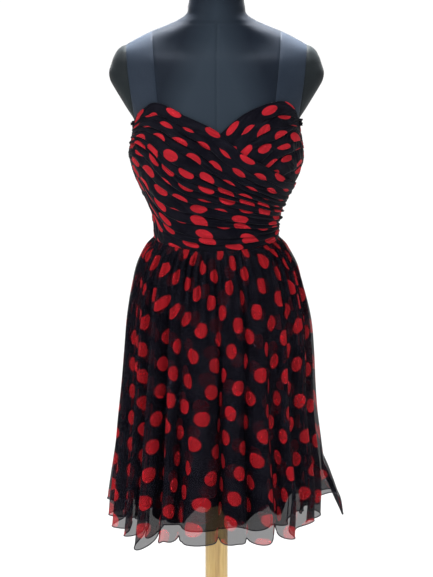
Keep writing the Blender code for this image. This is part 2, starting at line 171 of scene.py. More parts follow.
# One pleat across its width: share of the cloth, share of the width, share of the height
PLEAT_PROFILE = (
    (0.00, 0.00, 0.04),
    (0.12, 0.10, 0.22),
    (0.28, 0.28, 0.58),
    (0.45, 0.50, 0.86),
    (0.60, 0.72, 1.00),
    (0.72, 0.92, 0.98),
    (0.80, 1.05, 0.80),
    (0.86, 1.09, 0.52),
    (0.92, 1.06, 0.22),
    (1.00, 1.00, 0.04),
)
PLEAT_SAMPLES = 18
PLEAT_WANDER = 0.016
SMALL_SHARE = 0.01

# The share of a pleat's cloth where it turns under, and the cloth tucked in there
PLEAT_TURN = 0.86
PLEAT_TUCK = 0.005

# Each row is the line of one fold of the wrap: its share of the way from the top edge to the waist, then
# the angle and height of ten stations from the viewer's left side seam to the right one
WRAP_FOLDS = (
    (0.00, (-90, 1.256), (-69, 1.272), (-50, 1.294), (-35.5, 1.308), (-19, 1.285),
     (0.5, 1.258), (16, 1.221), (34, 1.193), (57, 1.163), (90, 1.147)),
    (0.17, (-90, 1.249), (-72, 1.258), (-54, 1.270), (-39, 1.267), (-25, 1.250),
     (-9, 1.229), (5, 1.197), (25, 1.162), (57, 1.131), (90, 1.124)),
    (0.34, (-90, 1.233), (-74, 1.238), (-58, 1.244), (-45, 1.234), (-33, 1.211),
     (-19, 1.192), (-2, 1.166), (22, 1.140), (56, 1.112), (90, 1.104)),
    (0.51, (-90, 1.216), (-75, 1.220), (-60, 1.222), (-46, 1.207), (-36, 1.179),
     (-22, 1.147), (-2, 1.132), (24, 1.117), (57, 1.098), (90, 1.088)),
    (0.68, (-90, 1.199), (-78, 1.195), (-67, 1.184), (-58, 1.158), (-49, 1.130),
     (-34, 1.112), (-12, 1.102), (20, 1.092), (57, 1.080), (90, 1.072)),
    (0.86, (-90, 1.168), (-84, 1.146), (-76, 1.116), (-64, 1.091), (-48, 1.076),
     (-29, 1.068), (-6, 1.065), (23, 1.064), (57, 1.062), (90, 1.061)),
    (1.00, (-90, WAIST), (-80, WAIST), (-68, WAIST), (-54, WAIST), (-38, WAIST),
     (-20, WAIST), (1, WAIST), (27, WAIST), (58, WAIST), (90, WAIST)),
)
NECK_STATION = 5 / 9

# Each row is the line of one fold of the cup: its share of the way down, where it starts as a share of the
# crossing edge, then the angle and height of four stations to the side seam
CUP_FOLDS = (
    (0.00, 0.00, (20, 1.294), (41, 1.310), (65, 1.278), (90, 1.255)),
    (0.22, 0.11, (25, 1.270), (44, 1.286), (66, 1.274), (90, 1.247)),
    (0.46, 0.24, (30, 1.243), (46, 1.256), (64, 1.258), (90, 1.237)),
    (0.70, 0.40, (39, 1.217), (53, 1.227), (69, 1.231), (90, 1.220)),
    (0.87, 0.60, (52, 1.190), (63, 1.195), (76, 1.198), (90, 1.196)),
)
CUP_LAST_START = 0.93
CUP_TUCK = 0.009
WRAP_LAP = 0.0030

# Fine crushing that the print shows: flat cloth for each length of pleated cloth across the folds
CRUSH = 2.35

# Near the waist: how much lower the pleats are, and how far over it that starts
WAIST_CALM = 0.65
WAIST_CALM_TALL = 0.012

# Fine creases along the pleats: height of the puckers, share of a pleat that a crease takes, half width of
# a crease, height of the wrinkles, wrinkles to a pleat, and how much flatter the pleats are at the sides
PUCKER_HEIGHT = 0.0004
CREASE_SHARE = 0.34
CREASE_WIDTH = 0.11
WRINKLE_HEIGHT = 0.0018
WRINKLES = 2.6
SIDE_CALM = 0.72
SIDE_CALM_ANGLES = (66, 86)
SIDE_CALM_HEIGHTS = (1.12, 1.18)

# Backs: heights of the top edge at the side seam and at the middle, sag of the pleats
BACK_TOP_SIDE = 1.255
BACK_TOP_MIDDLE = 1.240
BACK_SAG = 0.006

# Pleats of each panel from the top down: relative width, relative height
WRAP_PLEATS = (
    (1.15, 0.70),
    (0.80, 0.90),
    (0.95, 1.15),
    (0.75, 0.85),
    (1.10, 1.10),
    (0.85, 0.95),
    (0.80, 1.20),
    (1.00, 0.80),
    (0.90, 1.10),
    (1.20, 0.95),
    (0.95, 0.85),
    (1.25, 1.00),
    (1.00, 0.80),
    (1.30, 0.75),
)
CUP_PLEATS = (
    (1.55, 0.45),
    (1.25, 0.70),
    (0.90, 1.00),
    (1.10, 0.80),
    (0.80, 1.15),
    (0.90, 1.00),
    (0.85, 0.90),
)
BACK_PLEATS = (
    (1.20, 0.80),
    (0.90, 1.05),
    (1.05, 0.90),
    (0.85, 1.10),
    (1.10, 0.95),
    (0.90, 1.10),
    (1.05, 0.85),
    (1.15, 0.80),
)

# Columns of each panel's mesh
WRAP_COLUMNS = 230
CUP_COLUMNS = 110
BACK_COLUMNS = 110

# Skirt: height, half width, depth in front, depth behind, shift to the viewer's right
SKIRT_SECTIONS = (
    (0.478, 0.2000, 0.168, 0.196, 0.000),
    (0.548, 0.1975, 0.163, 0.189, 0.004),
    (0.616, 0.1910, 0.158, 0.181, 0.004),
    (0.682, 0.1850, 0.154, 0.174, 0.003),
    (0.748, 0.1805, 0.150, 0.167, 0.004),
    (0.813, 0.1775, 0.146, 0.160, 0.005),
    (0.878, 0.1730, 0.140, 0.150, 0.005),
    (0.942, 0.1615, 0.129, 0.134, 0.003),
    (0.990, 0.1490, 0.117, 0.119, 0.001),
    (1.010, 0.1400, 0.110, 0.110, 0.000),
    (1.030, 0.1290, 0.101, 0.100, 0.000),
    (1.045, 0.1182, 0.0937, 0.0907, 0.000),
)
HEM = 0.478
GROOVE_DEPTH = 0.018
GATHERS = 64
GATHER_HEIGHT = 0.0034
GATHER_START = 0.022
GATHER_FADE = (0.05, 0.26)
FOLDS = 38
FOLD_HEIGHT = 0.0048
FOLD_START = (0.02, 0.16)
RIPPLE_HEIGHT = 0.0012
LAYER_PITCH = 0.00135
LAYER_START = 0.035
SIDE_INSET = 0.006
SIDE_INSET_ANGLE = 28.0
FLUTE_NARROWING = 0.45
FLUTE_SWAY = 1.3
ROW_SPACING = 1.08

# Cloth hidden in the gathers, folds, creases and grooves, for each length that shows
GATHER_HIDDEN = 2.0
FOLD_HIDDEN = 1.7
CREASE_HIDDEN = 170
GROOVE_HIDDEN = 0.7

# Each flute runs from its groove to the next row's: groove angle, reach of its crest, drop of its hem
FLUTES = (
    (-98.0, 0.016, 0.002),
    (-82.0, 0.014, 0.004),
    (-60.0, 0.016, 0.001),
    (-47.5, 0.030, 0.012),
    (-34.5, 0.015, -0.003),
    (-22.5, 0.020, -0.008),
    (1.0, 0.018, -0.009),
    (18.0, 0.018, -0.005),
    (36.0, 0.015, -0.005),
    (48.0, 0.010, -0.020),
    (72.0, 0.010, -0.006),
    (84.0, 0.016, 0.002),
    (97.0, 0.018, 0.000),
    (112.0, 0.022, 0.003),
    (127.0, 0.016, 0.000),
    (143.0, 0.019, 0.004),
    (160.0, 0.014, 0.000),
    (176.0, 0.020, 0.003),
    (191.0, 0.015, 0.001),
    (207.0, 0.018, 0.004),
    (221.0, 0.024, 0.000),
    (234.0, 0.032, 0.002),
    (248.0, 0.030, -0.004),
)

# The second layer's hem waves by this much, and the lining's is a table: angle, rise above its lowest line
SECOND_HEM_WAVE = 0.007
LINING_HEM = (
    (-88.0, 0.010),
    (-70.0, 0.012),
    (-57.0, 0.020),
    (-46.0, 0.024),
    (-38.0, 0.004),
    (-20.0, 0.003),
    (-11.0, 0.046),
    (3.0, 0.044),
    (9.0, 0.002),
    (18.0, 0.003),
    (25.0, 0.030),
    (33.0, 0.038),
    (41.0, 0.014),
    (48.0, 0.018),
    (57.0, 0.052),
    (75.0, 0.052),
    (90.0, 0.030),
    (108.0, 0.008),
    (130.0, 0.022),
    (150.0, 0.004),
    (172.0, 0.016),
    (195.0, 0.002),
    (218.0, 0.018),
    (240.0, 0.006),
    (258.0, 0.014),
)

# The narrow fold that kicks out at the side seam on the viewer's right
KICK_ANGLE = 90.0
KICK_REACH = 0.036
KICK_HALF_ANGLE = 4.0
KICK_TOP = 0.575
KICK_RISE = 0.056
KICK_RISE_ANGLE = 7.6
KICK_STRIP_ANGLE = 1.2

# Layers: name, slot, share of the flutes, share of the gathers and folds, inset near the waist and at the
# hem, rise of the hem, flat width against the outer layer's, radius of the rolled hem, columns, rows
Layer = namedtuple("Layer", "name slot flutes folds inset_waist inset_hem rise cut roll columns rows")
LAYERS = (
    Layer("outer", "dotted_chiffon", 1.00, 1.00, 0.000, 0.000, 0.000, 1.00, 0.0011, 560, 110),
    Layer("second", "sheer_chiffon", 0.55, 0.50, 0.008, 0.017, 0.022, 0.70, 0.0011, 360, 80),
    Layer("lining", "lining", 0.25, 0.25, 0.012, 0.034, 0.026, 0.55, 0.0013, 240, 60),
)

# Flat cut of the outer layer's half: a flared piece, straight down its side seams
CUT_WAIST = 0.90
CUT_HEM = 1.36
CUT_LENGTH = 0.567

# The side seams' allowances show as dark strips: side, column of the front, height of the top, thickness
SEAM_STRIPS = (
    ("right", -1, 0.640, 0.0052),
    ("left", 0, 0.620, 0.0012),
)

# Upright creases: angle at the top and at the hem, height of the top, depth, half angle
SKIRT_CREASES = (
    (-81, -83, 0.99, 0.005, 2.0),
    (-66, -68, 1.02, 0.007, 2.2),
    (-55, -56, 1.00, 0.006, 1.8),
    (-44, -46, 1.02, 0.008, 2.0),
    (-33, -35, 0.98, 0.006, 1.6),
    (-26, -24, 1.01, 0.009, 2.2),
    (-17, -18, 0.90, 0.004, 1.6),
    (2, 1.5, 0.88, 0.009, 2.0),
    (9, 10.5, 0.95, 0.004, 1.5),
    (17, 17.5, 0.99, 0.006, 1.6),
    (30, 32, 0.94, 0.010, 2.4),
    (37, 38, 1.00, 0.006, 1.6),
    (44, 45, 0.97, 0.007, 1.6),
    (52, 54, 1.01, 0.007, 1.8),
    (62, 65, 1.00, 0.006, 2.2),
    (77, 76, 0.96, 0.006, 2.0),
    (104, 103, 0.99, 0.007, 2.0),
    (117, 119, 1.01, 0.008, 2.0),
    (131, 130, 0.94, 0.006, 1.8),
    (142, 144, 1.00, 0.009, 2.2),
    (156, 158, 0.90, 0.006, 1.8),
    (169, 168, 0.98, 0.007, 2.0),
    (183, 184, 1.01, 0.009, 2.2),
    (199, 198, 0.92, 0.006, 1.8),
    (212, 214, 0.99, 0.008, 2.0),
    (227, 227, 1.00, 0.006, 2.0),
    (243, 241, 0.95, 0.008, 2.2),
    (258, 257, 1.00, 0.006, 2.0),
)

# Broad smooth panels of the skirt: middle angle, half angle, how much the folds are quietened there
CALM_PANELS = (
    (-10, 9, 0.75),
    (13, 9, 0.70),
    (-62, 5, 0.50),
    (57, 6, 0.50),
    (-90, 6, 0.40),
    (124, 6, 0.60),
    (162, 7, 0.60),
    (205, 8, 0.60),
    (235, 6, 0.50),
)

# Narrow notches of the outer hem: angle, half angle, rise
HEM_NOTCHES = (
    (-82, 1.8, 0.008),
    (-60, 1.8, 0.014),
    (-47.5, 1.6, 0.012),
    (-34.5, 1.6, 0.020),
    (-28, 1.4, 0.006),
    (-22.5, 1.6, 0.008),
    (1, 1.5, 0.007),
    (18, 1.5, 0.004),
    (36, 1.7, 0.030),
    (48, 1.8, 0.014),
    (72, 1.8, 0.002),
    (112, 1.8, 0.012),
    (143, 1.8, 0.016),
    (176, 1.8, 0.010),
    (207, 1.8, 0.014),
    (234, 1.8, 0.012),
    (256, 1.8, 0.010),
)

# Chiffon printed with round dots on a square lattice: dot colour, opacity, dot radius, pitch, sheen, gloss
BLACK = (0.0018, 0.0016, 0.0042)
# The bodice's dots are a brighter red than the skirt's: the print's red with painted highlight, for the
# light falling on the bust from above
BODICE_CHIFFON = {
    "dot": (0.35, 0.012, 0.020),
    "alpha": 1.0,
    "radius": 0.0155,
    "pitch": 0.057,
    "sheen": 0.07,
    "shine": 0.04,
}
SKIRT_CHIFFON = {
    "dot": (0.29, 0.008, 0.013),
    "alpha": 0.77,
    "radius": 0.0145,
    "pitch": 0.053,
    "sheen": 0.0,
    "shine": 0.05,
}

# Jersey of the form's front and back, armholes and sides: dark and pale mottling, and the paler wedge of
# painted highlight
JERSEYS = (
    ("middle jersey", (0.003, 0.006, 0.012), (0.008, 0.013, 0.022), (0.018, 0.027, 0.039)),
    ("armhole jersey", (0.005, 0.007, 0.009), (0.012, 0.016, 0.018)),
    # The sides' jersey is paler than the middle's: painted light standing in for the light that falls on
    # the sides
    ("slate jersey", (0.010, 0.016, 0.027), (0.018, 0.026, 0.040)),
)

# Varnished pine
PINE_PALE = (0.62, 0.43, 0.13)
PINE_DARK = (0.36, 0.21, 0.055)

# Studio: floor, sky, and the sun's strength, spread and tilt
FLOOR_REACH = 60
FLOOR_COLOUR = (0.92, 0.92, 0.92)
SKY_STRENGTH = 0.34
SUN_STRENGTH = 2.75
SUN_SPREAD = 34.0
SUN_TILT = (17.0, -10.0, 0.0)

# Soft lights: name, place, the point they aim at, size, power, spread
LIGHTS = (
    ("top", (0.0, 0.28, 2.15), (0.0, 0.02, 1.40), (0.6, 0.2), 13.0, 50.0),
    ("key", (-1.5, -1.9, 2.7), (0.0, 0.0, 1.15), (0.8, 0.8), 22.0, 180.0),
    ("left", (-2.4, -1.2, 1.9), (0.0, 0.0, 1.10), (1.0, 1.8), 16.0, 180.0),
    ("right", (2.4, -1.2, 1.9), (0.0, 0.0, 1.10), (1.0, 1.8), 16.0, 180.0),
)

# Sheer layers that light can pass
CLEAR_LAYERS = 24


def table(rows):
    """The rows as an array in rising order of their first column."""
    found = np.array(rows, dtype=float)
    return found[np.argsort(found[:, 0])]


def smooth(rows, at):
    """Reads every later column of a table at the first column's values, along a smooth curve."""
    knots = rows[:, 0]
    slopes = np.gradient(rows[:, 1:], knots, axis=0)
    at = np.clip(np.asarray(at, dtype=float), knots[0], knots[-1])
    low = np.clip(np.searchsorted(knots, at, side="right") - 1, 0, len(knots) - 2)
    step = knots[low + 1] - knots[low]
    share = ((at - knots[low]) / step)[..., None]
    step = step[..., None]
    value = (2 * share**3 - 3 * share**2 + 1) * rows[low, 1:]
    value = value + (share**3 - 2 * share**2 + share) * step * slopes[low]
    value = value + (3 * share**2 - 2 * share**3) * rows[low + 1, 1:]
    value = value + (share**3 - share**2) * step * slopes[low + 1]
    return np.moveaxis(value, -1, 0)


def ramp(value, low, high):
    """A soft step from 0 at low to 1 at high."""
    share = np.clip((np.asarray(value, dtype=float) - low) / (high - low), 0, 1)
    return share * share * (3 - 2 * share)


def drift(seed, *places):
    """Smooth irregular values, about -1 to 1, over places that are about 1 apart."""
    chosen = np.random.default_rng(seed)
    total = 0.0
    for _ in range(5):
        turns = chosen.uniform(0.35, 1.1, len(places)) * chosen.choice((-1, 1), len(places))
        phase = chosen.uniform(0, 2 * math.pi)
        total = total + np.sin(2 * math.pi * sum(t * np.asarray(p) for t, p in zip(turns, places)) + phase)
    return total / 2.6


def ring_drift(seed, angle, height, slowest, fastest):
    """Smooth irregular values that close up round the body."""
    chosen = np.random.default_rng(seed)
    total = 0.0
    for _ in range(5):
        count = int(chosen.integers(slowest, fastest + 1))
        rise = chosen.uniform(-7, 7)
        phase = chosen.uniform(0, 2 * math.pi)
        total = total + np.sin(count * np.radians(angle) + rise * height + phase)
    return total / 2.6


def bell(*away):
    """A smooth hump, 1 in its middle, from how far away a place is in each direction."""
    return np.exp(-sum(np.square(part) for part in away))


def waist_dip(angle, height):
    """How far the waist seam, and the cloth near it, hangs lower in front."""
    front = np.clip(np.cos(np.radians(angle)), 0, 1) ** 2
    return WAIST_DIP * front * bell((height - WAIST) / WAIST_DIP_TALL)


def section(angle, half_width, front, back):
    """A point round a rounded section, and the direction straight out of it."""
    turn = np.radians(angle)
    depth = np.where(np.cos(turn) > 0, front, back)
    across = half_width * np.sin(turn)
    along = depth * np.cos(turn)
    length = np.hypot(across, along)
    across, along = across / length, along / length
    power = SECTION_POWER
    reach = (np.abs(across / half_width) ** power + np.abs(along / depth) ** power) ** (-1 / power)
    x, y = reach * across, -reach * along
    out_x = np.sign(x) * (np.abs(x) / half_width) ** (power - 1) / half_width
    out_y = np.sign(y) * (np.abs(y) / depth) ** (power - 1) / depth
    size = np.hypot(out_x, out_y)
    return x, y, out_x / size, out_y / size


def bust(x, z):
    """How far the bust stands out to the front."""
    return BUST_REACH * bell((np.abs(x) - BUST_ACROSS) / BUST_WIDTH, (z - BUST_HEIGHT) / BUST_TALL)


def beside_armhole(height, trim=0.0):
    """Whether a height lies within the armholes, or a trim short of their top."""
    return (height > ARMHOLES[0][0]) & (height < ARMHOLES[-1][0] - trim)


def form_point(angle, height, lift):
    """A point on the form's surface, moved out by a lift; the armholes are flat under their domes."""
    angle, height = np.broadcast_arrays(np.asarray(angle, float), np.asarray(height, float))
    half_width, front, back = smooth(table(FORM_SECTIONS), height)
    x, y, out_x, out_y = section(angle, half_width, front, back)
    y = y - np.where(y < 0, bust(x, height) * np.clip(-out_y * 2, 0, 1), 0.0)
    x, y = x + lift * out_x, y + lift * out_y
    plate, reach = smooth(table(ARMHOLES), height)
    inside = beside_armhole(height) & (np.abs(x) > plate)
    depth = np.where(y < 0, front, back)
    edge = depth * np.clip(1 - (plate / half_width) ** SECTION_POWER, 1e-6, 1) ** (1 / SECTION_POWER)
    dome = np.maximum(reach, 0) * np.clip(1 - (y / edge) ** 2, 0, 1) ** DOME_POWER
    x = np.where(inside, np.sign(x) * (plate + dome + lift), x)
    return np.stack([x, y, height], axis=-1)


def angle_of(across, height, side):
    """The angle at which the form's section is this far across; side is 1 in front and -1 behind."""
    half_width, front, back = smooth(table(FORM_SECTIONS), height)
    depth = np.where(side > 0, front, back)
    share = np.clip(across / half_width, 0, 0.999)
    along = depth * (1 - share**SECTION_POWER) ** (1 / SECTION_POWER)
    turn = np.degrees(np.arctan2(across / half_width, along / depth))
    return turn if side > 0 else 180 - turn


def add_object(name, data, at=(0, 0, 0), turned_by=(0, 0, 0)):
    made = bpy.data.objects.new(name, data)
    made.location = at
    made.rotation_euler = turned_by
    bpy.context.scene.collection.objects.link(made)
    return made


def add_mesh(name, points, faces, finishes, place_on_cloth=None, face_finish=None, sharp_angle=None):
    """Makes one smooth-shaded object; place_on_cloth gives each point's place on the flat cloth."""
    mesh = bpy.data.meshes.new(name)
    mesh.from_pydata(np.asarray(points).tolist(), [], [tuple(face) for face in faces])
    for finish in finishes:
        mesh.materials.append(finish)
    if face_finish is not None:
        mesh.polygons.foreach_set("material_index", np.asarray(face_finish, dtype=np.int32))
    if place_on_cloth is not None:
        corners = np.zeros(len(mesh.loops), dtype=np.int32)
        mesh.loops.foreach_get("vertex_index", corners)
        flat = mesh.uv_layers.new(name="flat")
        flat.data.foreach_set("uv", np.asarray(place_on_cloth)[corners].astype(np.float32).ravel())
    form = bmesh.new()
    form.from_mesh(mesh)
    bmesh.ops.recalc_face_normals(form, faces=form.faces)
    form.to_mesh(mesh)
    form.free()
    mesh.shade_smooth()
    if sharp_angle is not None:
        mesh.set_sharp_from_angle(angle=math.radians(sharp_angle))
    return add_object(name, mesh)


def grid_faces(rows, columns, closed=False):
    """Four-sided faces over a grid of points; a closed grid joins its last column to its first."""
    index = np.arange(rows * columns).reshape(rows, columns)
    after = np.roll(index, -1, axis=1)
    corners = np.stack([index[:-1], after[:-1], after[1:], index[1:]], axis=-1)
    if not closed:
        corners = corners[:, :-1]
    return corners.reshape(-1, 4).tolist()


def tube(name, path, radius, finish):
    """A round cord along a path, with closed ends; the radius may change along it."""
    path = np.asarray(path, dtype=float)
    along = np.gradient(path, axis=0)
    along /= np.linalg.norm(along, axis=1)[:, None]
    up = np.tile((0.0, 0.0, 1.0), (len(path), 1))
    up[np.abs(along[:, 2]) > 0.9] = (0.0, 1.0, 0.0)
    side = np.cross(along, up)
    side /= np.linalg.norm(side, axis=1)[:, None]
    up = np.cross(side, along)
    turns = np.arange(CORD_SIDES) * 2 * math.pi / CORD_SIDES
    radius = np.broadcast_to(np.asarray(radius, dtype=float), (len(path),))[:, None, None]
    ring = side[:, None] * np.cos(turns)[None, :, None] + up[:, None] * np.sin(turns)[None, :, None]
    points = path[:, None] + radius * ring
    faces = grid_faces(len(path), CORD_SIDES, closed=True)
    faces.append(list(range(CORD_SIDES)))
    faces.append(list(range((len(path) - 1) * CORD_SIDES, len(path) * CORD_SIDES)))
    return add_mesh(name, points.reshape(-1, 3), faces, [finish])


def row_lengths(points, fullness=None):
    """The length along each row of a grid, measured from its first column; fullness counts hidden cloth."""
    steps = np.linalg.norm(np.diff(points, axis=1), axis=-1)
    if fullness is not None:
        steps = steps * (fullness[:, 1:] + fullness[:, :-1]) / 2
    return np.concatenate([np.zeros((len(points), 1)), np.cumsum(steps, axis=1)], axis=1)


class Nodes:
    """Adds nodes to one material and links them."""

    def __init__(self, name):
        self.material = bpy.data.materials.new(name)
        self.material.use_nodes = True
        self.tree = self.material.node_tree
        self.shader = self.tree.nodes["Principled BSDF"]

    def add(self, kind, inputs=(), **settings):
        node = self.tree.nodes.new(kind)
        for setting, value in settings.items():
            setattr(node, setting, value)
        for socket, value in dict(inputs).items():
            self.feed(node.inputs[socket], value)
        return node

    def feed(self, socket, value):
        if isinstance(value, bpy.types.NodeSocket):
            self.tree.links.new(value, socket)
        else:
            socket.default_value = value

    def math(self, operation, *values):
        node = self.add("ShaderNodeMath", operation=operation)
        for socket, value in zip(node.inputs, values):
            self.feed(socket, value)
        return node.outputs[0]

    def vector(self, operation, *values):
        node = self.add("ShaderNodeVectorMath", operation=operation)
        for socket, value in zip(node.inputs, values):
            self.feed(socket, value)
        return node

    def noise(self, place, scale, detail=2.0, roughness=0.5):
        inputs = {"Vector": place, "Scale": scale, "Detail": detail, "Roughness": roughness}
        return self.add("ShaderNodeTexNoise", inputs).outputs["Fac"]

    def between(self, value, low, high, start=0.0, end=1.0):
        inputs = {"Value": value, "From Min": low, "From Max": high, "To Min": start, "To Max": end}
        return self.add("ShaderNodeMapRange", inputs).outputs[0]

    def mix(self, share, first, second):
        node = self.add("ShaderNodeMix", data_type="RGBA")
        self.feed(node.inputs[0], share)
        self.feed(node.inputs[6], first)
        self.feed(node.inputs[7], second)
        return node.outputs[2]

    def bump(self, height, strength, distance):
        inputs = {"Height": height, "Strength": strength, "Distance": distance}
        self.feed(self.shader.inputs["Normal"], self.add("ShaderNodeBump", inputs).outputs[0])

    def set(self, **sockets):
        for name, value in sockets.items():
            self.feed(self.shader.inputs[name.replace("_", " ")], value)


def rgb(red, green, blue):
    return (red, green, blue, 1.0)


def chiffon(name, turn, shift, dot, alpha, radius, pitch, sheen, shine):
    """Black crepe chiffon with a printed lattice of dots, turned and shifted on the flat cloth."""
    n = Nodes(name)
    place = n.add("ShaderNodeUVMap", uv_map="flat").outputs[0]
    lattice = n.add("ShaderNodeMapping", {"Vector": place, "Rotation": (0, 0, math.radians(turn))})
    n.feed(lattice.inputs["Scale"], (1 / pitch, 1 / pitch, 1.0))
    n.feed(lattice.inputs["Location"], (*shift, 0.0))
    cell = n.vector("FRACTION", lattice.outputs[0]).outputs[0]
    centred = n.vector("SUBTRACT", cell, (0.5, 0.5, 0.0)).outputs[0]
    away = n.vector("LENGTH", centred).outputs["Value"]
    ragged = n.math("MULTIPLY_ADD", n.noise(place, 220.0), 0.02, -0.01)
    away = n.math("ADD", away, ragged)
    size = radius / pitch
    inside = n.between(away, size - 0.012, size + 0.012, 1.0, 0.0)
    patchy = n.noise(place, 26.0, 3.0)
    paler = tuple(1.5 * value + 0.003 for value in BLACK)
    deeper = tuple(0.78 * value for value in dot)
    base = n.mix(n.between(patchy, 0.35, 0.7), rgb(*BLACK), rgb(*paler))
    red = n.mix(n.between(patchy, 0.35, 0.65), rgb(*dot), rgb(*deeper))
    crepe = n.noise(place, 1100.0, 2.0, 0.6)
    n.set(Base_Color=n.mix(inside, base, red), Roughness=n.between(crepe, 0.3, 0.7, 0.62, 0.82))
    n.set(Alpha=alpha, Sheen_Weight=sheen, Sheen_Roughness=0.35, Specular_IOR_Level=shine)
    n.bump(crepe, 0.25, 0.0004)
    return n.material


def dark_cloth(name, ground, roughness, sheen):
    """Plain dark cloth with a fine grain."""
    n = Nodes(name)
    place = n.add("ShaderNodeTexCoord").outputs["Object"]
    paler = tuple(1.6 * value + 0.002 for value in ground)
    broad = n.noise(place, 14.0, 3.0)
    grain = n.noise(place, 900.0, 2.0, 0.6)
    n.set(Base_Color=n.mix(n.between(broad, 0.35, 0.7), rgb(*ground), rgb(*paler)))
    n.set(Roughness=n.between(grain, 0.3, 0.7, roughness - 0.08, roughness + 0.08))
    n.set(Sheen_Weight=sheen, Sheen_Roughness=0.4, Specular_IOR_Level=0.15)
    n.bump(grain, 0.2, 0.0003)
    return n.material


def form_cloth(name, dark, pale, painted_highlight=None):
    """Slate jersey, softly mottled; one with a painted highlight is paler in a wedge that widens down from
    the neck.
    """
    n = Nodes(name)
    place = n.add("ShaderNodeTexCoord").outputs["Object"]
    broad = n.noise(place, 9.0, 4.0, 0.6)
    fine = n.noise(place, 420.0, 3.0, 0.65)
    cloudy = n.math("MULTIPLY_ADD", fine, 0.35, n.math("MULTIPLY", broad, 0.65))
    base = n.mix(n.between(cloudy, 0.36, 0.64), rgb(*dark), rgb(*pale))
    if painted_highlight is not None:
        # Painted highlight: the jersey is mixed paler in a wedge down the chest, where light falls
        parts = n.add("ShaderNodeSeparateXYZ", {"Vector": place}).outputs
        down = n.math("SUBTRACT", HIGHLIGHT_WEDGE_TOP, parts["Z"])
        beyond = n.math("MULTIPLY_ADD", down, -HIGHLIGHT_WEDGE_SLOPE, n.math("ABSOLUTE", parts["X"]))
        wander = n.math("MULTIPLY_ADD", broad, 0.05, beyond)
        base = n.mix(n.between(wander, 0.020, 0.075, 1.0, 0.0), base, rgb(*painted_highlight))
    n.set(Base_Color=base, Roughness=n.between(fine, 0.3, 0.7, 0.55, 0.72))
    n.set(Sheen_Weight=0.05, Sheen_Roughness=0.35, Specular_IOR_Level=0.10)
    n.bump(fine, 0.22, 0.0006)
    return n.material


def pine(name, stretch):
    """Varnished pine, with its grain along the axis where the stretch is small."""
    n = Nodes(name)
    place = n.add("ShaderNodeTexCoord").outputs["Object"]
    stretched = n.add("ShaderNodeMapping", {"Vector": place, "Scale": stretch}).outputs[0]
    figure = n.noise(stretched, 70.0, 4.0, 0.6)
    streaks = n.noise(stretched, 420.0, 2.0, 0.5)
    grain = n.math("MULTIPLY_ADD", streaks, 0.3, n.math("MULTIPLY", figure, 0.7))
    n.set(Base_Color=n.mix(n.between(grain, 0.35, 0.65), rgb(*PINE_PALE), rgb(*PINE_DARK)))
    n.set(Roughness=n.between(streaks, 0.3, 0.7, 0.34, 0.5), Coat_Weight=0.25, Coat_Roughness=0.2)
    n.bump(grain, 0.15, 0.0005)
    return n.material


def plain(name, colour, roughness):
    n = Nodes(name)
    n.set(Base_Color=rgb(*colour), Roughness=roughness)
    return n.material


def form_columns(height):
    """The angles of the form's points at one height, half way round, and the columns of its seams.

    The seams are the centre front, the princess seam, both edges of the armhole, the princess seam of the
    back and the centre back. Each keeps a column of its own, between two that stay level.
    """
    princess = smooth(table(PRINCESS_SEAM), height)[0]
    plate = smooth(table(ARMHOLES), height)[0]
    marks = []
    for side in (1, -1):
        seam = float(angle_of(princess, height, side))
        cut = float(angle_of(plate, height, side)) if beside_armhole(height) else 90.0
        cut = min(cut, 90 - ARMHOLE_LIMIT) if side > 0 else max(cut, 90 + ARMHOLE_LIMIT)
        across_cut = [cut - SEAM_TURN, cut, cut + SEAM_TURN]
        across_seam = [seam - SEAM_TURN, seam, seam + SEAM_TURN]
        if side > 0:
            marks.extend([0.0, SEAM_TURN, *across_seam, *across_cut])
        else:
            marks.extend([*across_cut, *across_seam, 180 - SEAM_TURN, 180.0])
    angles = [marks[0]]
    for start, end, count in zip(marks, marks[1:], FORM_COLUMNS):
        angles.extend(np.linspace(start, end, count + 1)[1:])
    # Every third mark is the middle of a seam
    places = np.concatenate([[0], np.cumsum(FORM_COLUMNS)])
    return np.array(angles), places[::3]


def form_ring(height, on_neck_seam):
    """The form's points at one height, all the way round, and the columns of its seams."""
    angles, seams = form_columns(height)
    sunk = np.zeros(len(angles))
    if on_neck_seam:
        sunk[:] = -SEAM_DEPTH
    elif height <= NECK_SEAM:
        sunk[seams] = -SEAM_DEPTH
        if not beside_armhole(height):
            sunk[seams[2:4]] = 0.0
    right = form_point(angles, height, sunk)
    left = right[-2:0:-1] * (-1, 1, 1)
    return np.concatenate([right, left]), seams


def make_form(finishes):
    heights = np.linspace(FORM_SECTIONS[0][0], FORM_SECTIONS[-1][0], FORM_ROWS)
    neck = np.argmin(np.abs(heights - NECK_SEAM))
    rings = []
    for row, height in enumerate(heights):
        ring, seams = form_ring(height, row == neck)
        rings.append(ring)
    columns = len(rings[0])
    centres = np.array(rings)[[0, -1]].mean(axis=1)
    points = np.concatenate([*rings, centres])
    faces = grid_faces(FORM_ROWS, columns, closed=True)
    top = (FORM_ROWS - 1) * columns
    for column in range(columns):
        after = (column + 1) % columns
        faces.append([column, after, len(points) - 2])
        faces.append([top + column, top + after, len(points) - 1])
    place = np.minimum(np.arange(columns), np.arange(columns)[::-1])
    low = heights[:-1, None]
    on_cap = beside_armhole(low, CAP_TRIM) & (place >= seams[2]) & (place < seams[3])
    on_side = (low < NECK_SEAM) & (place >= seams[1]) & (place < seams[4])
    # The finish's number: 1 at the armholes, 2 at the sides and 0 elsewhere; the sides' jersey is painted
    # paler, as painted light from the side lamps
    panel = np.where(on_cap, 1, np.where(on_side, 2, 0)).ravel()
    panel = np.concatenate([panel, np.zeros(2 * columns)])
    made = add_mesh("form_cover", points, faces, finishes, face_finish=panel, sharp_angle=50.0)
    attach(made, "root")
    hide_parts("form_body")


